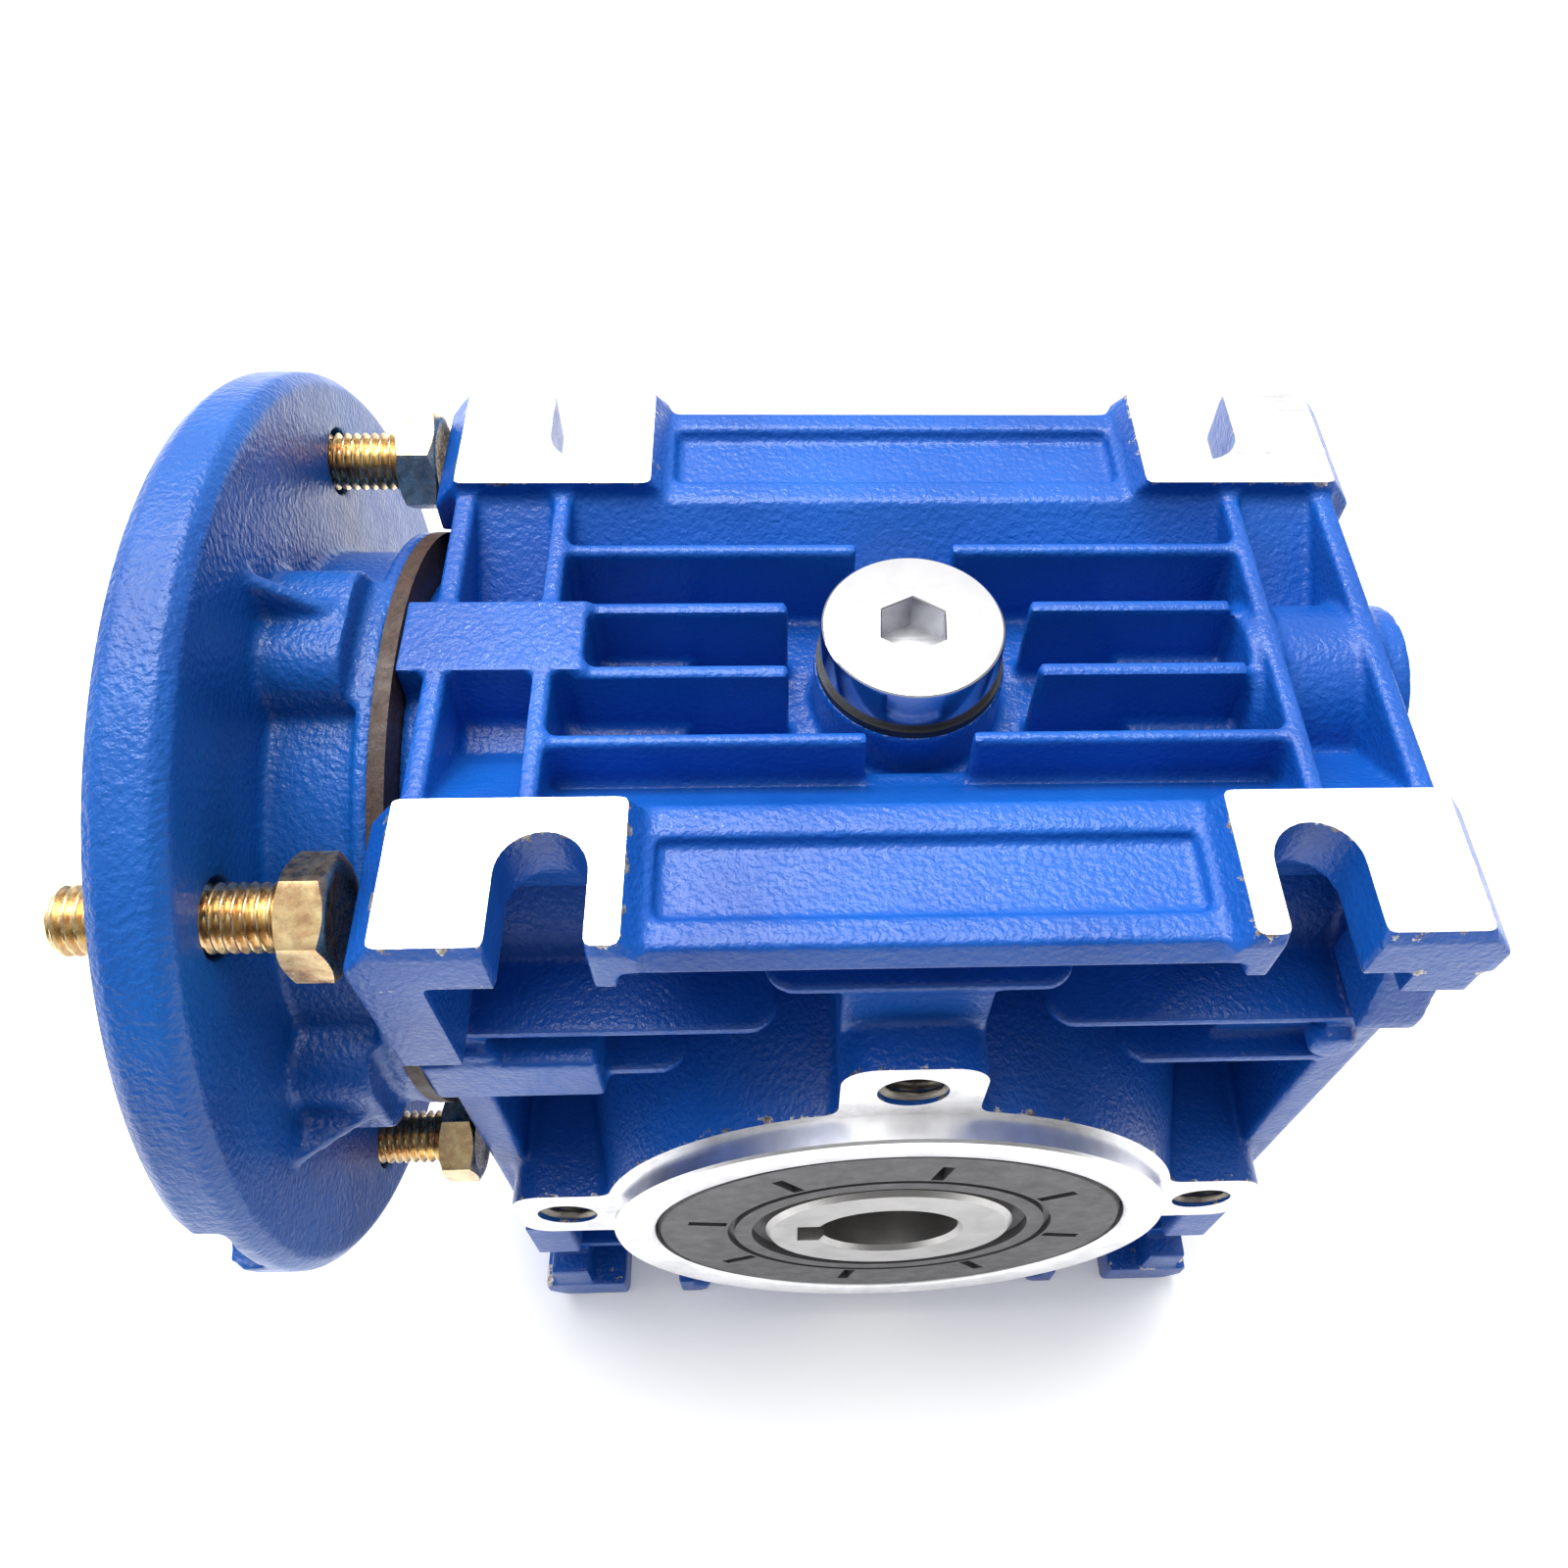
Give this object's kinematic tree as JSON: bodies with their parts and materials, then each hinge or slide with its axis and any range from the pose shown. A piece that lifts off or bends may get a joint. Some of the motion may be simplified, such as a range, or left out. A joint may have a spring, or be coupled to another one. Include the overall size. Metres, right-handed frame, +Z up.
{
  "type": "worm gearbox",
  "caption": "Right-angle worm gear reducer with hollow output shaft, slotted feet on two faces and a small flanged motor input.",
  "frame": {"origin": "centre of the hollow output shaft's bore, midway between its ends", "axes": "+X along the worm axis, away from the motor flange; +Y along the output shaft, away from the side with the integral bearing boss; +Z up, from the base feet to the top feet"},
  "size_m": [0.1006, 0.08, 0.11],
  "materials": {
    "blue_paint": "gloss",
    "blue_paint_flange": "gloss",
    "black_steel": "satin",
    "black_rubber": "matte",
    "grey_rubber": "matte",
    "turned_steel": "satin",
    "bronze": "satin",
    "gasket_paper": "matte",
    "bright_plating": "polished",
    "spring_steel": "satin",
    "bearing_steel": "satin",
    "ball_steel": "polished",
    "cage_steel": "satin",
    "gold_zinc": "satin"
  },
  "bodies": {
    "base": {"housing": "blue_paint", "output_cover": "blue_paint", "cover_screws": "black_steel", "cover_o_ring": "black_rubber", "input_flange": "blue_paint_flange", "flange_gasket": "gasket_paper", "flange_screws": "black_steel", "oil_plug": "bright_plating", "oil_plug_o_ring": "black_rubber", "output_front_seal": "grey_rubber", "output_rear_seal": "grey_rubber", "input_seal_ring": "black_rubber", "input_bore_circlip": "spring_steel", "rear_bore_circlip": "spring_steel", "rear_end_cap": "black_rubber", "output_front_bearing_outer_ring": "bearing_steel", "output_rear_bearing_outer_ring": "bearing_steel", "worm_input_bearing_outer_ring": "bearing_steel", "worm_rear_bearing_outer_ring": "bearing_steel"},
    "output": {"output_hollow_shaft": "turned_steel", "worm_wheel_rim": "bronze", "output_front_bearing_inner_ring": "bearing_steel", "output_rear_bearing_inner_ring": "bearing_steel"},
    "worm": {"worm_shaft": "turned_steel", "worm_front_circlip": "spring_steel", "worm_rear_circlip": "spring_steel", "worm_input_bearing_inner_ring": "bearing_steel", "worm_rear_bearing_inner_ring": "bearing_steel"},
    "output_front_bearing_balls_and_cage": {"output_front_bearing_cage": "cage_steel", "output_front_bearing_balls": "ball_steel"},
    "output_rear_bearing_balls_and_cage": {"output_rear_bearing_cage": "cage_steel", "output_rear_bearing_balls": "ball_steel"},
    "worm_input_bearing_balls_and_cage": {"worm_input_bearing_cage": "cage_steel", "worm_input_bearing_balls": "ball_steel"},
    "worm_rear_bearing_balls_and_cage": {"worm_rear_bearing_cage": "cage_steel", "worm_rear_bearing_balls": "ball_steel"},
    "motor_bolt_1": {"motor_bolt_1": "gold_zinc"},
    "motor_bolt_2": {"motor_bolt_2": "gold_zinc"},
    "motor_bolt_3": {"motor_bolt_3": "gold_zinc"},
    "motor_bolt_4": {"motor_bolt_4": "gold_zinc"}
  },
  "joints": [
    {"name": "output_spin", "type": "hinge", "parent": "base", "child": "output", "pos_m": [0, 0, 0], "axis": [0, 1, 0], "continuous": true},
    {"name": "worm_spin", "type": "hinge", "parent": "base", "child": "worm", "pos_m": [0, 0, 0.03], "axis": [1, 0, 0], "continuous": true},
    {"name": "output_front_bearing_cage_spin", "type": "hinge", "parent": "base", "child": "output_front_bearing_balls_and_cage", "pos_m": [0, -0.0195, 0], "axis": [0, 1, 0], "continuous": true},
    {"name": "output_rear_bearing_cage_spin", "type": "hinge", "parent": "base", "child": "output_rear_bearing_balls_and_cage", "pos_m": [0, 0.0195, 0], "axis": [0, 1, 0], "continuous": true},
    {"name": "worm_input_bearing_cage_spin", "type": "hinge", "parent": "base", "child": "worm_input_bearing_balls_and_cage", "pos_m": [-0.0279, 0, 0.03], "axis": [1, 0, 0], "continuous": true},
    {"name": "worm_rear_bearing_cage_spin", "type": "hinge", "parent": "base", "child": "worm_rear_bearing_balls_and_cage", "pos_m": [0.027, 0, 0.03], "axis": [1, 0, 0], "continuous": true},
    {"name": "motor_bolt_1_slide", "type": "slide", "parent": "base", "child": "motor_bolt_1", "axis": [-1, 0, 0], "range_m": [-0.0009, 0.00495]},
    {"name": "motor_bolt_2_slide", "type": "slide", "parent": "base", "child": "motor_bolt_2", "axis": [-1, 0, 0], "range_m": [-0.0001, 0.00575]},
    {"name": "motor_bolt_3_slide", "type": "slide", "parent": "base", "child": "motor_bolt_3", "axis": [-1, 0, 0], "range_m": [-0.0001, 0.00575]},
    {"name": "motor_bolt_4_slide", "type": "slide", "parent": "base", "child": "motor_bolt_4", "axis": [-1, 0, 0], "range_m": [-0.0009, 0.00495]}
  ],
  "couplings": [
    {"joint": "worm_spin", "follows": "output_spin", "ratio": -30},
    {"joint": "output_front_bearing_cage_spin", "follows": "output_spin", "ratio": 0.4339},
    {"joint": "output_rear_bearing_cage_spin", "follows": "output_spin", "ratio": 0.4339},
    {"joint": "worm_input_bearing_cage_spin", "follows": "output_spin", "ratio": -12.981},
    {"joint": "worm_rear_bearing_cage_spin", "follows": "output_spin", "ratio": -11.182}
  ]
}
